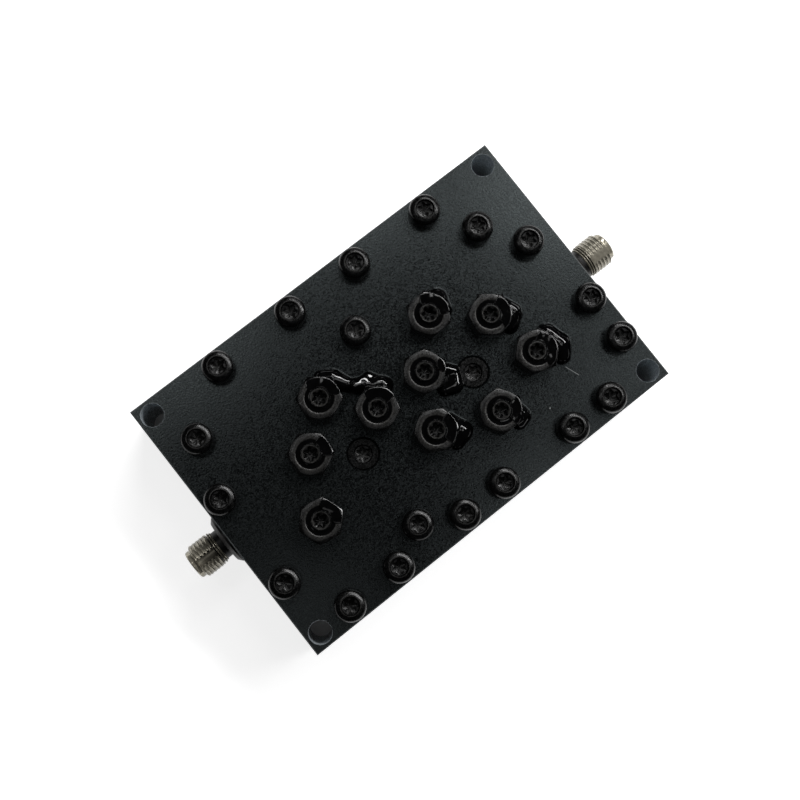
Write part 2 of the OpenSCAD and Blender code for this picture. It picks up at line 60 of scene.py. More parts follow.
bpy.ops.object.select_all(action="DESELECT")
bpy.ops.object.camera_add()
camera = bpy.context.object
camera.name = "photoCamera"
camera.data.lens = cameraView["lens"]
camera.data.sensor_width = cameraView["sensor"]
camera.data.clip_start = cameraView["nearest"] * mm
camera.data.clip_end = cameraView["farthest"] * mm
turned = Matrix([cameraView[side] for side in ("right", "up", "back")]).transposed().to_4x4()
camera.matrix_world = Matrix.Translation(Vector(cameraView["place"]) * mm) @ turned
bpy.context.scene.camera = camera
bpy.context.scene.view_settings.view_transform = "Standard"
print("camera placed")


def only(piece):
    # this piece alone is selected and active
    bpy.ops.object.select_all(action="DESELECT")
    piece.select_set(True)
    bpy.context.view_layer.objects.active = piece


def useModifier(piece, kind, **values):
    # adds a modifier, sets it and applies it
    only(piece)
    modifier = piece.modifiers.new(kind.lower(), kind)
    for key, value in values.items():
        setattr(modifier, key, value)
    bpy.ops.object.modifier_apply(modifier=modifier.name)


def cutWith(piece, tool, how="DIFFERENCE"):
    # one boolean, after which the tool is gone
    useModifier(piece, "BOOLEAN", object=tool, operation=how, solver="EXACT")
    bpy.data.objects.remove(tool)


def copyOf(piece, name):
    # a copy with its own mesh
    twin = piece.copy()
    twin.data = piece.data.copy()
    twin.name = name
    twin.data.name = name
    bpy.context.collection.objects.link(twin)
    return twin


def tidyMesh(piece, apart=0.0005):
    # points less than this many mm apart are merged, and all faces turned outwards
    only(piece)
    bpy.ops.object.mode_set(mode="EDIT")
    bpy.ops.mesh.select_all(action="SELECT")
    bpy.ops.mesh.remove_doubles(threshold=apart)
    bpy.ops.mesh.normals_make_consistent(inside=False)
    bpy.ops.object.mode_set(mode="OBJECT")


def turnedForm(name, rings, sides=96, hollow=False):
    # a turned form: one ring, extruded from radius and height to the next radius and height
    radius, height = rings[0]
    fill = "NOTHING" if hollow else "NGON"
    bpy.ops.object.select_all(action="DESELECT")
    bpy.ops.mesh.primitive_circle_add(vertices=sides, radius=radius, fill_type=fill, location=(0, 0, height))
    piece = bpy.context.object
    piece.name = name
    bpy.ops.object.transform_apply(location=True, rotation=True, scale=True)
    bpy.ops.object.mode_set(mode="EDIT")
    bpy.ops.mesh.select_all(action="SELECT")
    for nextRadius, nextHeight in rings[1:]:
        step = {"value": (0, 0, nextHeight - height)}
        if hollow:
            bpy.ops.mesh.extrude_edges_move(TRANSFORM_OT_translate=step)
        else:
            bpy.ops.mesh.extrude_region_move(TRANSFORM_OT_translate=step)
        grow = nextRadius / radius
        bpy.ops.transform.resize(value=(grow, grow, 1), center_override=(0, 0, nextHeight))
        radius, height = nextRadius, nextHeight
    bpy.ops.object.mode_set(mode="OBJECT")
    tidyMesh(piece)
    return piece


# a thread tooth: where its flanks start and end, as shares of one pitch, and the turns to spare
# at either end, which are cut off again
toothForm = {"rise": 0.125, "crest": (0.4, 0.6), "fall": 0.875, "spare": 1.5}


def threadRod(name, radius, root, pitch, bottom, top, sides=60):
    # one thread tooth swept up a helix, cut flat at both ends
    form = toothForm
    crestStart, crestEnd = form["crest"]
    tooth = [(root, form["rise"]), (radius, crestStart), (radius, crestEnd), (root, form["fall"]), (root, 1)]
    bpy.ops.object.select_all(action="DESELECT")
    bpy.ops.mesh.primitive_plane_add(size=1)
    piece = bpy.context.object
    piece.name = name
    bpy.ops.object.mode_set(mode="EDIT")
    bpy.ops.mesh.select_all(action="SELECT")
    bpy.ops.mesh.merge(type="CENTER")
    bpy.ops.transform.translate(value=(root, 0, bottom - form["spare"] * pitch))
    x, z = root, 0
    for nextX, nextZ in tooth:
        step = {"value": (nextX - x, 0, (nextZ - z) * pitch)}
        bpy.ops.mesh.extrude_vertices_move(TRANSFORM_OT_translate=step)
        x, z = nextX, nextZ
    bpy.ops.object.mode_set(mode="OBJECT")
    turns = math.ceil((top - bottom) / pitch) + round(2 * form["spare"])
    useModifier(piece, "SCREW", axis="Z", screw_offset=pitch, iterations=turns, steps=sides,
                render_steps=sides, use_smooth_shade=False)
    tidyMesh(piece)
    bpy.ops.object.mode_set(mode="EDIT")
    for height, lower in ((bottom, True), (top, False)):
        bpy.ops.mesh.select_all(action="SELECT")
        bpy.ops.mesh.bisect(plane_co=(0, 0, height), plane_no=(0, 0, 1), use_fill=True,
                            clear_inner=lower, clear_outer=not lower)
    bpy.ops.object.mode_set(mode="OBJECT")
    tidyMesh(piece)
    return piece


# a six-lobed socket: how its wall swings, as shares of half its width, and the shallow cone of
# its floor, as a share of its width and of its wall's radius
lobeForm = {"middle": 0.86, "swing": 0.14, "coneDepth": 0.12, "coneTip": 0.2}


def lobedTool(name, width, depth):
    # the tool that cuts a six-lobed socket, and one more mm above it
    form = lobeForm
    above = 1
    bpy.ops.object.select_all(action="DESELECT")
    bpy.ops.mesh.primitive_cylinder_add(vertices=72, radius=1, depth=depth + above,
                                        location=(0, 0, (above - depth) / 2), end_fill_type="NGON")
    piece = bpy.context.object
    piece.name = name
    bpy.ops.object.transform_apply(location=True, rotation=True, scale=True)
    for point in piece.data.vertices:
        angle = math.atan2(point.co.y, point.co.x)
        reach = width / 2 * (form["middle"] + form["swing"] * math.cos(6 * angle))
        point.co.x = reach * math.cos(angle)
        point.co.y = reach * math.sin(angle)
    bpy.ops.object.mode_set(mode="EDIT")
    bpy.ops.mesh.select_all(action="DESELECT")
    bpy.ops.object.mode_set(mode="OBJECT")
    for face in piece.data.polygons:
        face.select = face.normal.z < -0.9
    bpy.ops.object.mode_set(mode="EDIT")
    bpy.ops.mesh.select_mode(type="FACE")
    bpy.ops.mesh.extrude_region_move(TRANSFORM_OT_translate={"value": (0, 0, -form["coneDepth"] * width)})
    bpy.ops.transform.resize(value=(form["coneTip"], form["coneTip"], 1), center_override=(0, 0, -depth))
    bpy.ops.mesh.select_mode(type="VERT")
    bpy.ops.object.mode_set(mode="OBJECT")
    return piece


def markWearAndPaintedLight(piece, amount):
    # how strongly each point is marked, from 0 to 1, kept as an attribute that the finish reads: on black
    # steel it is wear and partly a painted highlight, on the jack shells painted shade; the amount is a
    # function of the point's distance from the piece's axis and of its place
    mesh = piece.data
    wornAndHighlight = mesh.attributes.new("wearAndPaintedLight", "FLOAT", "POINT")
    for point, value in zip(mesh.vertices, wornAndHighlight.data):
        radius = math.hypot(point.co.x, point.co.y)
        value.value = max(0, min(1, amount(radius, point.co)))


def addNode(tree, kind, **values):
    # a shader node with values on its sockets by name, or on itself
    node = tree.nodes.new(kind)
    for key, value in values.items():
        if key in node.inputs:
            node.inputs[key].default_value = value
        else:
            setattr(node, key, value)
    return node


def feed(tree, place, source):
    # an input gets a link to a socket, or a plain value
    if isinstance(source, bpy.types.NodeSocket):
        tree.links.new(source, place)
    else:
        place.default_value = source


def arithmetic(tree, operation, *sources, clamp=False):
    # one sum or comparison of sockets and plain values
    node = addNode(tree, "ShaderNodeMath", operation=operation, use_clamp=clamp)
    for place, source in zip(node.inputs, sources):
        feed(tree, place, source)
    return node.outputs["Value"]


def vectorStep(tree, operation, *sources, gives="Vector"):
    # one step of vector arithmetic
    node = addNode(tree, "ShaderNodeVectorMath", operation=operation)
    for place, source in zip(node.inputs, sources):
        feed(tree, place, source)
    return node.outputs[gives]


def ownPlace(tree):
    # where a point lies in the piece's own coordinates, in metres
    return addNode(tree, "ShaderNodeTexCoord").outputs["Object"]


def fromMiddle(tree, axis):
    # how far a point lies from the middle along one axis, in metres
    split = addNode(tree, "ShaderNodeSeparateXYZ")
    tree.links.new(ownPlace(tree), split.inputs["Vector"])
    return arithmetic(tree, "ABSOLUTE", split.outputs[axis])


def mixed(tree, amount, kind, low, high):
    # low where the amount is 0 and high where it is 1; each is a socket or a plain value
    node = addNode(tree, "ShaderNodeMix", data_type=kind)
    colours = kind == "RGBA"
    first = 6 if colours else 2  # the node keeps its colour sockets behind the others
    tree.links.new(amount, node.inputs[0])
    for place, source in ((first, low), (first + 1, high)):
        plain = not isinstance(source, bpy.types.NodeSocket)
        feed(tree, node.inputs[place], (*source, 1) if colours and plain else source)
    return node.outputs[2 if colours else 0]


def newMaterial(name, **values):
    # an empty material with one shader; returns the material, its tree and the shader
    material = bpy.data.materials.new(name)
    material.use_nodes = True
    tree = material.node_tree
    tree.nodes.clear()
    shader = addNode(tree, "ShaderNodeBsdfPrincipled", **values)
    output = addNode(tree, "ShaderNodeOutputMaterial")
    tree.links.new(shader.outputs["BSDF"], output.inputs["Surface"])
    return material, tree, shader


def grain(tree, scale, detail=2.0, roughness=0.5):
    # a noise that reads the piece's own coordinates
    noise = addNode(tree, "ShaderNodeTexNoise", Scale=scale, Detail=detail, Roughness=roughness)
    tree.links.new(ownPlace(tree), noise.inputs["Vector"])
    return noise.outputs["Fac"]


def flecks(tree, scale):
    # a value of its own for each small cell of the surface, from 0 to 1
    cells = addNode(tree, "ShaderNodeTexVoronoi", Scale=scale)
    tree.links.new(ownPlace(tree), cells.inputs["Vector"])
    split = addNode(tree, "ShaderNodeSeparateColor")
    tree.links.new(cells.outputs["Color"], split.inputs[0])
    return split.outputs[0]


def ramp(tree, source, stops, colours):
    # the first colour up to the first stop, the second from the second stop, and a blend between
    node = addNode(tree, "ShaderNodeValToRGB")
    for element, position, colour in zip(node.color_ramp.elements, stops, colours):
        element.position = position
        element.color = (*colour, 1)
    tree.links.new(source, node.inputs["Fac"])
    return node.outputs["Color"]


def bump(tree, shader, source, distance):
    # height from a noise, in metres
    node = addNode(tree, "ShaderNodeBump", Distance=distance)
    tree.links.new(source, node.inputs["Height"])
    tree.links.new(node.outputs["Normal"], shader.inputs["Normal"])


# finishes: colours are linear, depths in metres, and flecks, grains and the like are how many fit
# in a metre
paintFinish = {
    "low": (0.0003, 0.0003, 0.0003), "high": (0.003, 0.0033, 0.0035), "gloss": (0.16, 0.35),
    "tint": (0.86, 0.98, 1, 1), "flecks": 4800, "grains": 3600, "depth": 0.00002,
    "bareAndPaintedLight": (0.42, 0.46, 0.49), "dust": (0.2, 0.205, 0.205),
}

# how far the corner holes stand from the middle, and a radius that takes in their walls, in mm
cornerHoles = {"place": (35.45, 22.75, 0), "radius": 2.02}

# a fine hair, from end to end, and a speck of dust on the lid, in mm
dust = {
    "hair": ((24.6, -13.5, lidTop), (25.55, -16.04, lidTop)), "hairWidth": 0.11,
    "speck": (18.0, -17.4, lidTop), "speckRadius": 0.15,
}


def insideHoles(tree):
    # 1 within the corner holes, 0 elsewhere
    mirrored = vectorStep(tree, "ABSOLUTE", ownPlace(tree))
    flat = vectorStep(tree, "MULTIPLY", mirrored, (1, 1, 0))
    hole = Vector(cornerHoles["place"]) * mm
    reach = vectorStep(tree, "DISTANCE", flat, hole, gives="Value")
    return arithmetic(tree, "LESS_THAN", reach, cornerHoles["radius"] * mm)


def dustMask(tree):
    # 1 on the hair and on the speck, 0 elsewhere
    spot = ownPlace(tree)
    start, end = (Vector(tip) * mm for tip in dust["hair"])
    middle = (start + end) / 2
    along = (end - start).normalized()
    across = Vector((-along.y, along.x, 0))
    within = []
    for way, reach in ((along, (end - start).length / 2), (across, dust["hairWidth"] * mm / 2)):
        step = vectorStep(tree, "DOT_PRODUCT", spot, way, gives="Value")
        within.append(arithmetic(tree, "COMPARE", step, middle.dot(way), reach))
    onHair = arithmetic(tree, "MULTIPLY", *within)
    away = vectorStep(tree, "DISTANCE", spot, Vector(dust["speck"]) * mm, gives="Value")
    onSpeck = arithmetic(tree, "LESS_THAN", away, dust["speckRadius"] * mm)
    return arithmetic(tree, "MAXIMUM", onHair, onSpeck)


def paintMaterial():
    # fine textured black paint with a little dust on it; the corner holes show dull metal, its colour raised
    # as painted light in their shade
    finish = paintFinish
    material, tree, shader = newMaterial("blackPaint")
    shader.inputs["Specular Tint"].default_value = finish["tint"]
    speckle = flecks(tree, finish["flecks"])
    colour = mixed(tree, speckle, "RGBA", finish["low"], finish["high"])
    # the corner holes' walls get a light bare-metal colour, partly painted light in their shade
    colour = mixed(tree, insideHoles(tree), "RGBA", colour, finish["bareAndPaintedLight"])
    tree.links.new(mixed(tree, dustMask(tree), "RGBA", colour, finish["dust"]), shader.inputs["Base Color"])
    tree.links.new(mixed(tree, speckle, "FLOAT", *finish["gloss"]), shader.inputs["Roughness"])
    bump(tree, shader, grain(tree, finish["grains"]), finish["depth"])
    return material


steelFinish = {
    "low": (0.0005, 0.0005, 0.0005), "high": (0.0036, 0.0037, 0.0038), "gloss": (0.18, 0.34), "mirror": 0.34,
    "flecks": 4400, "grains": 3600, "depth": 0.00002,
    "wornAndHighlight": (0.14, 0.136, 0.13), "wornAndHighlightRoughness": 0.32,
    "patches": 2600, "patchStops": (0.35, 0.6), "patchAmounts": ((0.25, 0.25, 0.25), (1, 1, 1)),
}


def steelMaterial():
    # dulled black on steel, rubbed lighter along the edges that a key touches; these lighter marks are partly
    # a painted highlight on edges and socket floors
    finish = steelFinish
    material, tree, shader = newMaterial("blackSteel")
    shader.inputs["Specular IOR Level"].default_value = finish["mirror"]
    speckle = flecks(tree, finish["flecks"])
    colour = mixed(tree, speckle, "RGBA", finish["low"], finish["high"])
    gloss = mixed(tree, speckle, "FLOAT", *finish["gloss"])
    # the marked wear, partly a painted highlight, turns to lighter bare metal
    mark = addNode(tree, "ShaderNodeAttribute", attribute_name="wearAndPaintedLight")
    patches = ramp(tree, grain(tree, finish["patches"]), finish["patchStops"], finish["patchAmounts"])
    wornAndHighlight = arithmetic(tree, "MULTIPLY", mark.outputs["Fac"], patches)
    tree.links.new(mixed(tree, wornAndHighlight, "RGBA", colour, finish["wornAndHighlight"]), shader.inputs["Base Color"])
    tree.links.new(mixed(tree, wornAndHighlight, "FLOAT", 0.0, 1.0), shader.inputs["Metallic"])
    tree.links.new(mixed(tree, wornAndHighlight, "FLOAT", gloss, finish["wornAndHighlightRoughness"]), shader.inputs["Roughness"])
    bump(tree, shader, grain(tree, finish["grains"]), finish["depth"])
    return material


compoundFinish = {
    "colours": ((0.0008, 0.0008, 0.0009), (0.002, 0.002, 0.0022)), "stops": (0.3, 0.8), "roughness": 0.07,
    "waves": 900, "depth": 0.000015,
}


def compoundMaterial():
    # cured black compound, glossy and slightly uneven
    finish = compoundFinish
    material, tree, shader = newMaterial("blackCompound", Roughness=finish["roughness"])
    wave = grain(tree, finish["waves"], 1.0)
    tree.links.new(ramp(tree, wave, finish["stops"], finish["colours"]), shader.inputs["Base Color"])
    bump(tree, shader, wave, finish["depth"])
    return material


# the shells' paint ends between two distances from the wall, in mm
shellFinish = {
    "metal": ((0.31, 0.285, 0.225), (0.5, 0.465, 0.375)), "stops": (0.3, 0.7), "metallic": 0.46,
    "roughness": 0.18, "mottle": 1800, "depth": 0.000003,
    "paint": (0.008, 0.0075, 0.007), "paintRoughness": 0.42, "paintEnd": (2.2, 2.26),
}


def shellMaterial():
    # plated metal, with painted shade where it is marked; black paint covers the shoulder and the neck
    finish = shellFinish
    material, tree, shader = newMaterial("platedShell", Metallic=finish["metallic"])
    mottle = grain(tree, finish["mottle"], 4.0, 0.6)
    metal = ramp(tree, mottle, finish["stops"], finish["metal"])
    border = addNode(tree, "ShaderNodeMapRange")
    for limit, distance in zip(("From Min", "From Max"), finish["paintEnd"]):
        border.inputs[limit].default_value = (endWall + distance) * mm
    tree.links.new(fromMiddle(tree, "X"), border.inputs["Value"])
    # painted shade in the grooves and at the thread's roots takes the paint's black
    paintedShade = addNode(tree, "ShaderNodeAttribute", attribute_name="wearAndPaintedLight")
    metalShows = arithmetic(tree, "SUBTRACT", border.outputs["Result"], paintedShade.outputs["Fac"], clamp=True)
    tree.links.new(mixed(tree, metalShows, "RGBA", finish["paint"], metal), shader.inputs["Base Color"])
    tree.links.new(mixed(tree, metalShows, "FLOAT", finish["paintRoughness"], finish["roughness"]),
                   shader.inputs["Roughness"])
    bump(tree, shader, mottle, finish["depth"])
    return material


# what is inside: each has a darker and a lighter colour
plainFinishes = {
    "insulatorWhite": {"colours": ((0.7, 0.69, 0.65), (0.8, 0.79, 0.75)), "metallic": 0, "roughness": 0.45},
    "goldPlate": {"colours": ((0.72, 0.5, 0.17), (0.83, 0.6, 0.24)), "metallic": 1, "roughness": 0.25},
    "silverPlate": {"colours": ((0.72, 0.72, 0.7), (0.85, 0.85, 0.83)), "metallic": 1, "roughness": 0.25},
    "plainSteel": {"colours": ((0.42, 0.42, 0.42), (0.55, 0.55, 0.55)), "metallic": 1, "roughness": 0.3},
}
plainGrain = {"mottle": 2500, "stops": (0.35, 0.65), "depth": 0.000008}


def plainMaterial(name):
    # one colour, slightly mottled
    finish = plainFinishes[name]
    material, tree, shader = newMaterial(name, Roughness=finish["roughness"], Metallic=finish["metallic"])
    mottle = grain(tree, plainGrain["mottle"], 3.0)
    tree.links.new(ramp(tree, mottle, plainGrain["stops"], finish["colours"]), shader.inputs["Base Color"])
    bump(tree, shader, mottle, plainGrain["depth"])
    return material


blackPaint = paintMaterial()
blackSteel = steelMaterial()
compound = compoundMaterial()
platedShell = shellMaterial()
bySlot = {
    "black_paint": blackPaint, "black_steel": blackSteel, "sealant": compound, "plated_shell": platedShell,
    "insulator": plainMaterial("insulatorWhite"), "gold": plainMaterial("goldPlate"),
    "silver_plate": plainMaterial("silverPlate"), "steel": plainMaterial("plainSteel"),
}
print("finishes ready")

for part in frame["record"]["subparts"]:
    nodeObject = frame["nodes"][part["node"]]
    nodeObject.data.materials.clear()
    nodeObject.data.materials.append(bySlot[part["material_slot"]])


def setDown(piece, material, nodes, at=(0, 0, 0), turn=0, smooth=35):
    # from millimetres to metres, into its place, with its finish; it stands for the CAD nodes
    piece.location = Vector(at) * mm
    piece.rotation_euler = (0, 0, math.radians(turn))
    piece.scale = (mm, mm, mm)
    only(piece)
    bpy.ops.object.transform_apply(location=True, rotation=True, scale=True)
    piece.data.materials.clear()
    piece.data.materials.append(material)
    bpy.ops.object.shade_smooth_by_angle(angle=math.radians(smooth))
    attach(piece, "root")
    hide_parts(*nodes)


# places on the lid in mm, from the middle of the underside
tunerPlaces = [(-24.2, -8.4), (-12, 7.7), (0, -8.4), (11.2, 7.7), (21.7, -8.4)]
couplerPlaces = [(-18.85, 1.25), (-5.5, 0.45), (4.55, 0.45), (19.4, 1.25), (10.6, -12.55)]
screwPlaces = tunerPlaces + couplerPlaces
nutTurns = [19, 54, 3, 33, 14, 53, 51, 21, 51, 30]
hexCorner = 30  # degrees from the middle of a nut's flat to its corner
capPlaces = [
    (-22, 22.3), (-6.85, 22.3), (6.85, 22.3), (22, 22.3), (-28.9, -22.3), (-18.75, -22.3), (-4.75, -22.3),
    (3.7, -22.3), (27, -22.3), (18.75, -22.3), (-35, 4.55), (-35, -12.75), (35, -6.95), (35, -15.4),
    (-31.95, 14.85), (27.4, 14.5), (32.85, 7.3), (-0.15, 13.1), (-12, -18.8),
]
flushPlaces = [(-11.8, -3.95), (11.5, -4.5)]

# a lock nut; its crown is the cone that takes off the corners, sink is its countersink, and the
# wear, partly a painted highlight, lies within a band round the top one
nutForm = {
    "flats": 7, "height": 3.2, "crownRadius": 3.42, "crownSlope": 0.5, "bore": 2.02, "sink": 2.6,
    "sinkDepth": 0.4, "edge": 0.12, "edgeAngle": 28, "wearAndPaintedLight": 0.3, "wearAndHighlightBand": 0.2,
}


def hexBody(name, grow=0):
    # a hexagon whose corners a cone takes off, larger all round by grow
    form = nutForm
    top = form["height"] + grow
    below = 1
    corner = math.radians(hexCorner)
    bpy.ops.object.select_all(action="DESELECT")
    bpy.ops.mesh.primitive_cylinder_add(vertices=6, radius=(form["flats"] / 2 + grow) / math.cos(corner),
                                        depth=top + below, location=(0, 0, (top - below) / 2),
                                        rotation=(0, 0, corner))
    body = bpy.context.object
    body.name = name
    bpy.ops.object.transform_apply(location=True, rotation=True, scale=True)
    inner = form["crownRadius"] + grow
    outer = inner + 1
    drop = (outer - inner) * form["crownSlope"]
    foot = -0.5 if grow else 0  # a coat goes on under the lid's top
    crown = turnedForm("crownTool", [(outer, foot), (outer, top - drop), (inner, top)], sides=120)
    cutWith(body, crown, "INTERSECT")
    return body


def makeNut():
    # the hexagon bored and countersunk at both faces, all edges rounded
    form = nutForm
    bore, sink, sinkDepth, top = form["bore"], form["sink"], form["sinkDepth"], form["height"]
    nut = hexBody("nutModel")
    past = 0.2
    over = sink + (sink - bore) * past / sinkDepth
    cutWith(nut, turnedForm("boreTool", [(over, -past), (bore, sinkDepth), (bore, top - sinkDepth),
                                         (over, top + past)]))
    tidyMesh(nut)
    useModifier(nut, "BEVEL", width=form["edge"], segments=3, limit_method="ANGLE",
                angle_limit=math.radians(form["edgeAngle"]), harden_normals=False)
    band = form["wearAndHighlightBand"]
    markWearAndPaintedLight(nut, lambda radius, spot: form["wearAndPaintedLight"] * (spot.z > top - band and radius < sink + band))
    return nut


nutModel = makeNut()
for i, (x, y) in enumerate(screwPlaces):
    nut = copyOf(nutModel, "lockNut_%02d" % (i + 1))
    setDown(nut, blackSteel, ["lock_nuts"], (x, y, lidTop), nutTurns[i] - hexCorner)
print("lock nuts:", len(nutModel.data.polygons), "faces each")

# a set screw, which stands proud of its nut; the shallow cone round its socket is radius past
# the mouth's own and height, and the wear, partly a painted highlight, lies from past the mouth to a radius,
# above a height
setForm = {
    "radius": 1.95, "root": 1.55, "pitch": 0.7, "bevel": 0.42, "proud": 0.3, "lengths": (10, 8),
    "socket": 2.6, "depth": 2, "mouth": 1.36, "mouthCone": [(-0.36, -0.4), (0, -0.06), (0.2, 0.2)],
    "edge": 0.05, "edgeAngle": 40, "wearAndPaintedLight": 0.7, "wearAndHighlightBand": (-0.02, 1.5, -0.09),
}


def makeSetScrew(length):
    # a threaded pin with bevelled ends and a six-lobed socket
    form = setForm
    rod = threadRod("setScrewModel", form["radius"], form["root"], form["pitch"], -length, 0)
    cut, past = form["bevel"], 0.1
    tip, wide = form["radius"] - cut, form["radius"] + past
    ends = turnedForm("endTool", [(tip, -length - 0.01), (wide, -length + cut + past), (wide, -cut - past),
                                  (tip, 0.01)], sides=72)
    cutWith(rod, ends, "INTERSECT")
    cone = [(form["mouth"] + wider, height) for wider, height in form["mouthCone"]]
    cutWith(rod, turnedForm("mouthTool", cone, sides=72))
    cutWith(rod, lobedTool("socketTool", form["socket"], form["depth"]))
    tidyMesh(rod)
    useModifier(rod, "BEVEL", width=form["edge"], segments=2, limit_method="ANGLE",
                angle_limit=math.radians(form["edgeAngle"]))
    fromMouth, outer, lowest = form["wearAndHighlightBand"]
    inner = form["mouth"] + fromMouth
    markWearAndPaintedLight(rod, lambda radius, spot: form["wearAndPaintedLight"] * (spot.z > lowest and inner < radius < outer))
    return rod


tunerModel, couplerModel = (makeSetScrew(length) for length in setForm["lengths"])
screwTop = lidTop + nutForm["height"] + setForm["proud"]
screwTurns = [12, 41, 5, 28, 50, 0, 33, 17, 8, 45]
for i, (x, y) in enumerate(screwPlaces):
    tuner = i < len(tunerPlaces)
    screw = copyOf(tunerModel if tuner else couplerModel, "setScrew_%02d" % (i + 1))
    setDown(screw, blackSteel, ["tuning_screws" if tuner else "coupling_screws"],
            (x, y, screwTop), screwTurns[i])
print("set screws:", len(tunerModel.data.polygons), "faces each")

# a lid screw's socket and rod, which cap screws and flush screws share
socketForm = {"mouth": 1.62, "throat": 1.4, "throatDrop": 0.45, "width": 2.7, "depth": 1.75}
rodForm = {"radius": 1.45, "root": 1.2, "pitch": 0.5, "length": 8}


def cutSocket(head, top):
    # a round mouth that narrows to a six-lobed socket
    form = socketForm
    mouth, throat, drop = form["mouth"], form["throat"], top - form["throatDrop"]
    cone = [(throat - 0.3, drop - 0.06), (throat, drop), (mouth - 0.06, top - 0.1), (mouth, top),
            (mouth + 0.1, top + 0.2)]
    cutWith(head, turnedForm("mouthTool", cone, sides=72))
    tool = lobedTool("socketTool", form["width"], form["depth"])
    tool.location.z = top
    cutWith(head, tool)


def socketWearAndHighlight(radius, spot, form):
    # dull lighter metal inside a socket, between two heights: partly wear, partly a painted highlight
    low, high = form["socketBand"]
    return form["socketWearAndHighlight"] * (low < spot.z < high and radius < socketForm["throat"])


def addRod(head, top):
    # the threaded rod under a head, joined to it
    form = rodForm
    rod = threadRod("rodTool", form["radius"], form["root"], form["pitch"], -form["length"], top, sides=40)
    cutWith(head, rod, "UNION")


# a cap screw; its rolled rim is radius and height, wear, partly a painted highlight, is on the mouth's rim
# and in the socket, and each screw is turned on by turnStep from the one before
capForm = {
    "radius": 2.7, "height": 3, "foot": 0.08, "rodTop": 0.3,
    "rim": [(2.7, 2.05), (2.66, 2.3), (2.56, 2.5), (2.42, 2.66), (2.27, 2.77), (2.1, 2.85), (1.94, 2.92),
            (1.78, 3)],
    "rimWearAndHighlight": 0.3, "rimBand": (0.05, 0.08), "socketWearAndHighlight": 0.08, "socketBand": (0.8, 1.6),
    "turnStep": 23,
}


def makeCapScrew():
    # a cap head with a rolled rim on a threaded rod, its socket opening in a round mouth
    form = capForm
    top, foot = form["height"], form["foot"]
    head = turnedForm("capScrewModel", [(form["radius"] - foot, 0), (form["radius"], foot)] + form["rim"])
    addRod(head, form["rodTop"])
    cutSocket(head, top)
    tidyMesh(head)
    drop, past = form["rimBand"]
    rim = socketForm["mouth"] + past
    markWearAndPaintedLight(head, lambda radius, spot: form["rimWearAndHighlight"] * (spot.z > top - drop and radius < rim)
             + socketWearAndHighlight(radius, spot, form))
    return head


capModel = makeCapScrew()
for i, (x, y) in enumerate(capPlaces):
    cap = copyOf(capModel, "capScrew_%02d" % (i + 1))
    setDown(cap, blackSteel, ["lid_cap_screws"], (x, y, lidTop), capForm["turnStep"] * i)
print("cap screws:", len(capModel.data.polygons), "faces each")

# a flush screw lies a little under the lid's top, and its cone starts deeper; its socket carries wear, partly
# a painted highlight
flushForm = {"radius": 2.57, "drop": 0.05, "cone": 0.36, "edge": 0.06, "socketWearAndHighlight": 0.14,
             "socketBand": (-2.3, -1.4), "turnStep": 20}


def makeFlushScrew():
    # a flat head that sits in the lid's sink
    form = flushForm
    wide, edge, top, rod = form["radius"], form["edge"], -form["drop"], rodForm["radius"]
    neck = -form["cone"] - wide + rod
    into = 0.1
    head = turnedForm("flushScrewModel", [(rod - into, neck - into), (rod, neck), (wide, -form["cone"]),
                                          (wide, top - edge), (wide - edge, top)])
    addRod(head, neck + into)
    cutSocket(head, top)
    tidyMesh(head)
    markWearAndPaintedLight(head, lambda radius, spot: socketWearAndHighlight(radius, spot, form))
    return head


flushModel = makeFlushScrew()
for i, (x, y) in enumerate(flushPlaces):
    flush = copyOf(flushModel, "flushScrew_%02d" % (i + 1))
    setDown(flush, blackSteel, ["lid_flush_screws"], (x, y, lidTop), flushForm["turnStep"] * i)
print("flush screws:", len(flushModel.data.polygons), "faces each")

# a jack: its profile is radius and distance from the wall, up to the thread, and its grooves get
# painted shade between two distances and within a radius
jackForm = {
    "across": -0.95, "height": 9.2, "thread": 3.125, "pitch": 0.7056, "root": 3.03,
    "threadStart": 3.14, "threadEnd": 6.85, "lip": 2.6, "tip": 7.7, "flats": 5.92, "turns": {-1: 9, 1: 18},
    "profile": [
        (3.1, -4.5), (3.1, -0.02), (4.6, 0), (4.6, 0.55), (3.88, 1.15), (2.75, 1.15), (2.6, 1.25),
        (2.6, 2.24), (2.76, 2.27), (2.84, 2.36), (2.84, 2.44), (2.78, 2.5), (2.6, 2.52), (2.6, 2.62),
        (2.92, 2.64), (3.04, 2.74), (3.04, 2.82), (2.98, 2.88), (2.62, 2.9),
    ],
    "bore": [(2.07, -5), (2.07, 5.8), (2.3, 5.8), (2.3, 7.62), (2.42, 7.75)],
    "grooves": [(2.48, 2.63, 2.7), (2.86, 3.15, 2.85)], "threadPaintedShade": 0.4, "besideFlats": 2.9,
    "smooth": 22,
}


def jackPaintedShade(radius, spot):
    # painted shade in the grooves and, thinner, at the thread's root, but not on the flats
    form = jackForm
    total = sum(low < spot.z < high and radius < outer for low, high, outer in form["grooves"])
    inThread = form["threadStart"] + 0.1 < spot.z < form["threadEnd"] - 0.3
    if inThread and radius < form["root"] + 0.015 and abs(spot.y) < form["besideFlats"]:
        total += form["threadPaintedShade"]
    return total


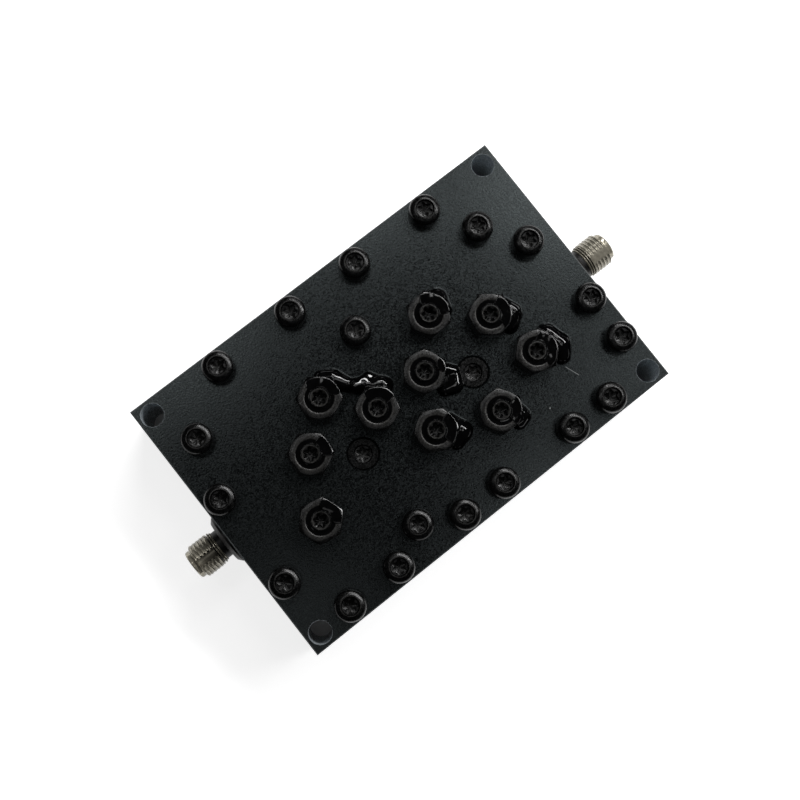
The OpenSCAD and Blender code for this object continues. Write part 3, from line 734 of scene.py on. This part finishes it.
def makeJackShell(way):
    # a turned shell with shoulder, neck and rings, a cut thread with two flats, and a bore
    form = jackForm
    start, end, root, lip, tip = (form[key] for key in ("threadStart", "threadEnd", "root", "lip", "tip"))
    name = "leftJackShell" if way < 0 else "rightJackShell"
    shell = turnedForm(name, form["profile"] + [
        (2.62, start - 0.02), (root - 0.1, start), (root, start + 0.1), (root, end - 0.25), (lip + 0.02, end),
        (lip, end + 0.1), (lip, tip - 0.25), (lip - 0.1, tip - 0.08), (lip - 0.25, tip)], sides=120)
    thread = threadRod("threadTool", form["thread"], root - 0.02, form["pitch"], start, end, sides=96)
    crest = form["thread"] + 0.01
    reach = turnedForm("reachTool", [(root, start - 0.02), (crest, start + 0.2), (crest, end - 0.36),
                                     (lip + 0.04, end + 0.01)], sides=120)
    cutWith(thread, reach, "INTERSECT")
    cutWith(shell, thread, "UNION")
    cutWith(shell, turnedForm("boreTool", form["bore"]))
    block = Vector((8, 2, 10))
    for side in (-1, 1):
        middle = (0, side * (form["flats"] + block.y) / 2, start + block.z / 2)
        bpy.ops.object.select_all(action="DESELECT")
        bpy.ops.mesh.primitive_cube_add(size=1, location=middle, scale=block)
        flatTool = bpy.context.object
        bpy.ops.object.transform_apply(location=True, rotation=True, scale=True)
        cutWith(shell, flatTool)
    tidyMesh(shell)
    markWearAndPaintedLight(shell, jackPaintedShade)
    lie = Matrix.Rotation(way * math.pi / 2, 4, "Y")
    turn = Matrix.Rotation(math.radians(way * form["turns"][way] - 90), 4, "Z")
    shell.data.transform(lie @ turn)
    return shell


for way, side in ((-1, "left"), (1, "right")):
    shell = makeJackShell(way)
    setDown(shell, platedShell, [side + "_jack_shell"],
            (way * endWall, jackForm["across"], jackForm["height"]), smooth=jackForm["smooth"])
    print("jack shell:", len(shell.data.polygons), "faces")

# cured compound: each film is x, y and radius on its nut, each lobe x, y, radius and height on
# the lid, all from the middle of the dab's first nut, and the nuts are counted along screwPlaces;
# a film whose middle is farther than reach from a nut isn't on that nut
dabForm = {
    "film": 0.1, "hole": 1.74, "reach": 5, "tool": 12, "voxel": 0.1, "rounds": 10, "wave": 0.16,
    "waveSize": 2.2, "sunk": 0.5, "smooth": 60, "turnStep": 37,
    "ring": [(1.72, 2.3), (1.72, 3.08), (2.1, 3.04), (2.58, 3.12), (2.7, 3.1), (2.7, 2.3)],
}
dabs = {
    "sealant_tuning_1": {"nuts": [0], "films": [(3.1, -0.8, 1.8), (2.4, 1.6, 1.2)], "runs": []},
    "sealant_tuning_2": {
        "nuts": [1, 6], "films": [(2.2, 2.2, 2.9), (3.2, 0.2, 1.7), (8.7, -5.05, 2.6)],
        "runs": [[(2.6, 2.6, 1.7, 2.3), (3.9, 1.4, 2.1, 2.5), (5.3, -0.6, 1.5, 1.9)],
                 [(5.3, -0.9, 1.4, 1.9), (8.8, -3.8, 1.6, 2.4), (9.8, -4.5, 2.1, 2.4)],
                 [(5.9, -1.9, 1.2, 2.7), (9.0, -1.9, 1.1, 1.69), (9.6, -3.2, 1.2, 1.69)]]},
    "sealant_tuning_3": {"nuts": [2], "films": [(3.3, -1.9, 3.0)],
                         "runs": [[(2.7, -0.2, 2.1, 2.3), (3.5, -2.6, 2.3, 2.3), (2, -3.5, 1.7, 1.5)]]},
    "sealant_tuning_4": {"nuts": [3], "films": [(3.0, 1.3, 3.2)],
                         "runs": [[(2, 1.6, 2.4, 3.0), (3, 1.4, 2.35, 2.8), (3, -0.6, 1.7, 2.1)]]},
    "sealant_tuning_5": {"nuts": [4], "films": [(3.3, -1.0, 3.5), (1.5, -3, 1.5)],
                         "runs": [[(3.8, 1.2, 2.2, 2.5), (4.4, -1.4, 2.4, 2.5), (3.6, -3.2, 1.7, 1.9)]]},
    "sealant_coupling_12": {"nuts": [5], "films": [(3.0, -0.4, 1.9)], "runs": []},
    "sealant_coupling_34": {"nuts": [7], "films": [(3.3, -1.0, 1.3)],
                            "runs": [[(2.6, -0.6, 1.4, 1.9), (4.2, -2.7, 1.5, 1.2)],
                                     [(4.2, -2.7, 1.4, 1.1), (3.1, -4.6, 1.8, 1.2), (1.4, -4.2, 1.5, 1.2)]]},
    "sealant_coupling_45": {"nuts": [8], "films": [(3.4, -1.2, 2.9), (1.8, -3, 1.3)],
                            "runs": [[(3, 0, 2, 2.5), (3.8, -1.8, 2, 2.5), (2.2, -3.2, 1.8, 1.9)]]},
    "sealant_coupling_35": {"nuts": [9], "films": [(3.2, -2.4, 2.8)],
                            "runs": [[(2.4, -1, 1.9, 2.5), (2.8, -2.8, 1.8, 2.1), (1.8, -3.4, 1.5, 1.7)]]},
}

waves = bpy.data.textures.new("compoundWaves", "CLOUDS")
waves.noise_scale = dabForm["waveSize"]
waves.noise_depth = 1

ringModel = turnedForm("ringModel", dabForm["ring"] + dabForm["ring"][:1], hollow=True)
for i, (x, y) in enumerate(screwPlaces):
    ring = copyOf(ringModel, "compoundRing_%02d" % (i + 1))
    setDown(ring, compound, ["sealant_rings"], (x, y, lidTop), dabForm["turnStep"] * i,
            dabForm["smooth"])
print("rings of compound:", len(ringModel.data.polygons), "faces each")


def roundTool(sides, radius, at=(0, 0, 0)):
    # a tall cylinder to cut with
    bpy.ops.object.select_all(action="DESELECT")
    bpy.ops.mesh.primitive_cylinder_add(vertices=sides, radius=radius, depth=dabForm["tool"], location=at)
    return bpy.context.object


coatModel = hexBody("coatModel", dabForm["film"])
cutWith(coatModel, roundTool(64, dabForm["hole"], (0, 0, 3)))


def joined(pieces, name):
    # several pieces made one
    only(pieces[0])
    for piece in pieces:
        piece.select_set(True)
    bpy.ops.object.join()
    pieces[0].name = name
    return pieces[0]


def makeRun(lobes):
    # flattened balls with one skin drawn tight over them
    sunk = dabForm["sunk"]
    balls = []
    for x, y, radius, height in lobes:
        bpy.ops.object.select_all(action="DESELECT")
        bpy.ops.mesh.primitive_uv_sphere_add(segments=32, ring_count=16, radius=1, location=(x, y, -sunk),
                                             scale=(radius, radius, height + sunk))
        bpy.ops.object.transform_apply(location=True, rotation=True, scale=True)
        balls.append(bpy.context.object)
    run = joined(balls, "run")
    bpy.ops.object.mode_set(mode="EDIT")
    bpy.ops.mesh.select_all(action="SELECT")
    bpy.ops.mesh.convex_hull()
    bpy.ops.object.mode_set(mode="OBJECT")
    return run


def makeDab(name, dab):
    # films and runs melted into one skin, rippled, and cut off level with the lid
    first = Vector(screwPlaces[dab["nuts"][0]])
    pieces = [makeRun(lobes) for lobes in dab["runs"]]
    for number in dab["nuts"]:
        offset = Vector(screwPlaces[number]) - first
        for x, y, radius in dab["films"]:
            if (Vector((x, y)) - offset).length > dabForm["reach"]:
                continue
            coat = copyOf(coatModel, "coat")
            coat.location = (*offset, 0)
            coat.rotation_euler.z = math.radians(nutTurns[number] - hexCorner)
            cutWith(coat, roundTool(48, radius, (x, y, 0)), "INTERSECT")
            pieces.append(coat)
    for piece in pieces:
        only(piece)
        bpy.ops.object.transform_apply(location=True, rotation=True, scale=True)
    dabPiece = joined(pieces, name)
    useModifier(dabPiece, "REMESH", mode="VOXEL", voxel_size=dabForm["voxel"])
    useModifier(dabPiece, "SMOOTH", factor=0.5, iterations=dabForm["rounds"])
    useModifier(dabPiece, "DISPLACE", texture=waves, strength=dabForm["wave"], mid_level=0.5,
                texture_coords="LOCAL")
    only(dabPiece)
    bpy.ops.object.mode_set(mode="EDIT")
    bpy.ops.mesh.select_all(action="SELECT")
    bpy.ops.mesh.bisect(plane_co=(0, 0, 0), plane_no=(0, 0, 1), use_fill=True, clear_inner=True)
    bpy.ops.object.mode_set(mode="OBJECT")
    return dabPiece


for number, (node, dab) in enumerate(dabs.items()):
    dabPiece = makeDab("compoundDab_%02d" % (number + 1), dab)
    x, y = screwPlaces[dab["nuts"][0]]
    setDown(dabPiece, compound, [node], (x, y, lidTop), smooth=dabForm["smooth"])
    print("dab:", dabPiece.name, len(dabPiece.data.polygons), "faces")

# the floor: how far the housing covers it from the middle, in metres, and how brightly it shows
# itself under the housing, where a dim glow stands as painted shade, and all round
floorForm = {
    "size": 6, "colour": (0.8, 0.8, 0.8, 1), "covered": {"X": 0.038, "Y": 0.0253}, "paintedShadeGlow": 0.0125,
    "glow": 0.8,
}


def floorGlow(tree):
    # the glow of each point: white all round, and a dim painted shade where the housing stands
    past = [arithmetic(tree, "GREATER_THAN", fromMiddle(tree, axis), reach)
            for axis, reach in floorForm["covered"].items()]
    outside = arithmetic(tree, "MAXIMUM", *past)
    return mixed(tree, outside, "FLOAT", floorForm["paintedShadeGlow"], floorForm["glow"])


def directRays(tree):
    # 1 for camera, glossy and transmission rays
    seen = addNode(tree, "ShaderNodeLightPath").outputs
    direct = arithmetic(tree, "MAXIMUM", seen["Is Camera Ray"], seen["Is Glossy Ray"])
    return arithmetic(tree, "MAXIMUM", direct, seen["Is Transmission Ray"])


def floorMaterial():
    # matte, with a glow that only camera, glossy and transmission rays see
    material = bpy.data.materials.new("paleFloor")
    material.use_nodes = True
    tree = material.node_tree
    tree.nodes.clear()
    matte = addNode(tree, "ShaderNodeBsdfDiffuse", Color=floorForm["colour"])
    glow = addNode(tree, "ShaderNodeEmission", Color=(1, 1, 1, 1))
    both = addNode(tree, "ShaderNodeAddShader")
    choice = addNode(tree, "ShaderNodeMixShader")
    output = addNode(tree, "ShaderNodeOutputMaterial")
    tree.links.new(floorGlow(tree), glow.inputs["Strength"])
    tree.links.new(directRays(tree), choice.inputs[0])
    tree.links.new(matte.outputs[0], both.inputs[0])
    tree.links.new(glow.outputs[0], both.inputs[1])
    tree.links.new(matte.outputs[0], choice.inputs[1])
    tree.links.new(both.outputs[0], choice.inputs[2])
    tree.links.new(choice.outputs[0], output.inputs["Surface"])
    return material


bpy.ops.object.select_all(action="DESELECT")
bpy.ops.mesh.primitive_plane_add(size=floorForm["size"])
floor = bpy.context.object
floor.name = "paleFloor"
floor.data.materials.append(floorMaterial())

# the room: dim, and as white as the floor where the camera looks past it
worldForm = {"colour": (0.92, 0.96, 1, 1), "strength": 0.015}
world = bpy.data.worlds.new("studio")
bpy.context.scene.world = world
world.use_nodes = True
tree = world.node_tree
tree.nodes.clear()
dim = addNode(tree, "ShaderNodeBackground", Color=worldForm["colour"], Strength=worldForm["strength"])
white = addNode(tree, "ShaderNodeBackground", Color=(1, 1, 1, 1), Strength=floorForm["glow"])
seen = addNode(tree, "ShaderNodeLightPath")
choice = addNode(tree, "ShaderNodeMixShader")
output = addNode(tree, "ShaderNodeOutputWorld")
tree.links.new(seen.outputs["Is Camera Ray"], choice.inputs[0])
tree.links.new(dim.outputs[0], choice.inputs[1])
tree.links.new(white.outputs[0], choice.inputs[2])
tree.links.new(choice.outputs[0], output.inputs["Surface"])

# each lamp's place is in degrees down from straight above and round from +X, and in metres from
# the middle of the lid; level is the radiance it shows
lamps = {
    "windowRight": {"tilt": 46, "around": 15, "distance": 0.5, "size": (0.65, 0.05), "level": 21},
    "panelRight": {"tilt": 33, "around": 18, "distance": 0.183, "size": (0.05, 0.04), "level": 3.1},
    "panelRightLow": {"tilt": 29, "around": -20, "distance": 0.18, "size": (0.03, 0.03), "level": 1.8},
    "panelFarRight": {"tilt": 30, "around": 60, "distance": 0.18, "size": (0.045, 0.045), "level": 3.1},
    "panelFar": {"tilt": 24, "around": 105, "distance": 0.18, "size": (0.045, 0.045), "level": 1.9},
    "panelFarLeft": {"tilt": 29, "around": 133, "distance": 0.18, "size": (0.02, 0.02), "level": 5},
    "panelNearRight": {"tilt": 22, "around": -60, "distance": 0.18, "size": (0.045, 0.045), "level": 1.7},
    "panelNearLeft": {"tilt": 20, "around": -150, "distance": 0.18, "size": (0.045, 0.045), "level": 0.5},
}
for name, lamp in lamps.items():
    width, height = lamp["size"]
    tilt, around = math.radians(lamp["tilt"]), math.radians(lamp["around"])
    towards = Vector((math.sin(tilt) * math.cos(around), math.sin(tilt) * math.sin(around), math.cos(tilt)))
    bpy.ops.object.light_add(type="AREA")
    light = bpy.context.object
    light.name = name
    light.data.shape = "RECTANGLE"
    light.data.size, light.data.size_y = width, height
    light.data.energy = lamp["level"] * math.pi * width * height
    light.visible_camera = False
    light.location = towards * lamp["distance"] + Vector((0, 0, lidTop * mm))
    light.rotation_euler = towards.to_track_quat("Z", "Y").to_euler()
print("floor and lamps set")

for model in (nutModel, tunerModel, couplerModel, capModel, flushModel, coatModel, ringModel):
    bpy.data.objects.remove(model)

print("scene finished")
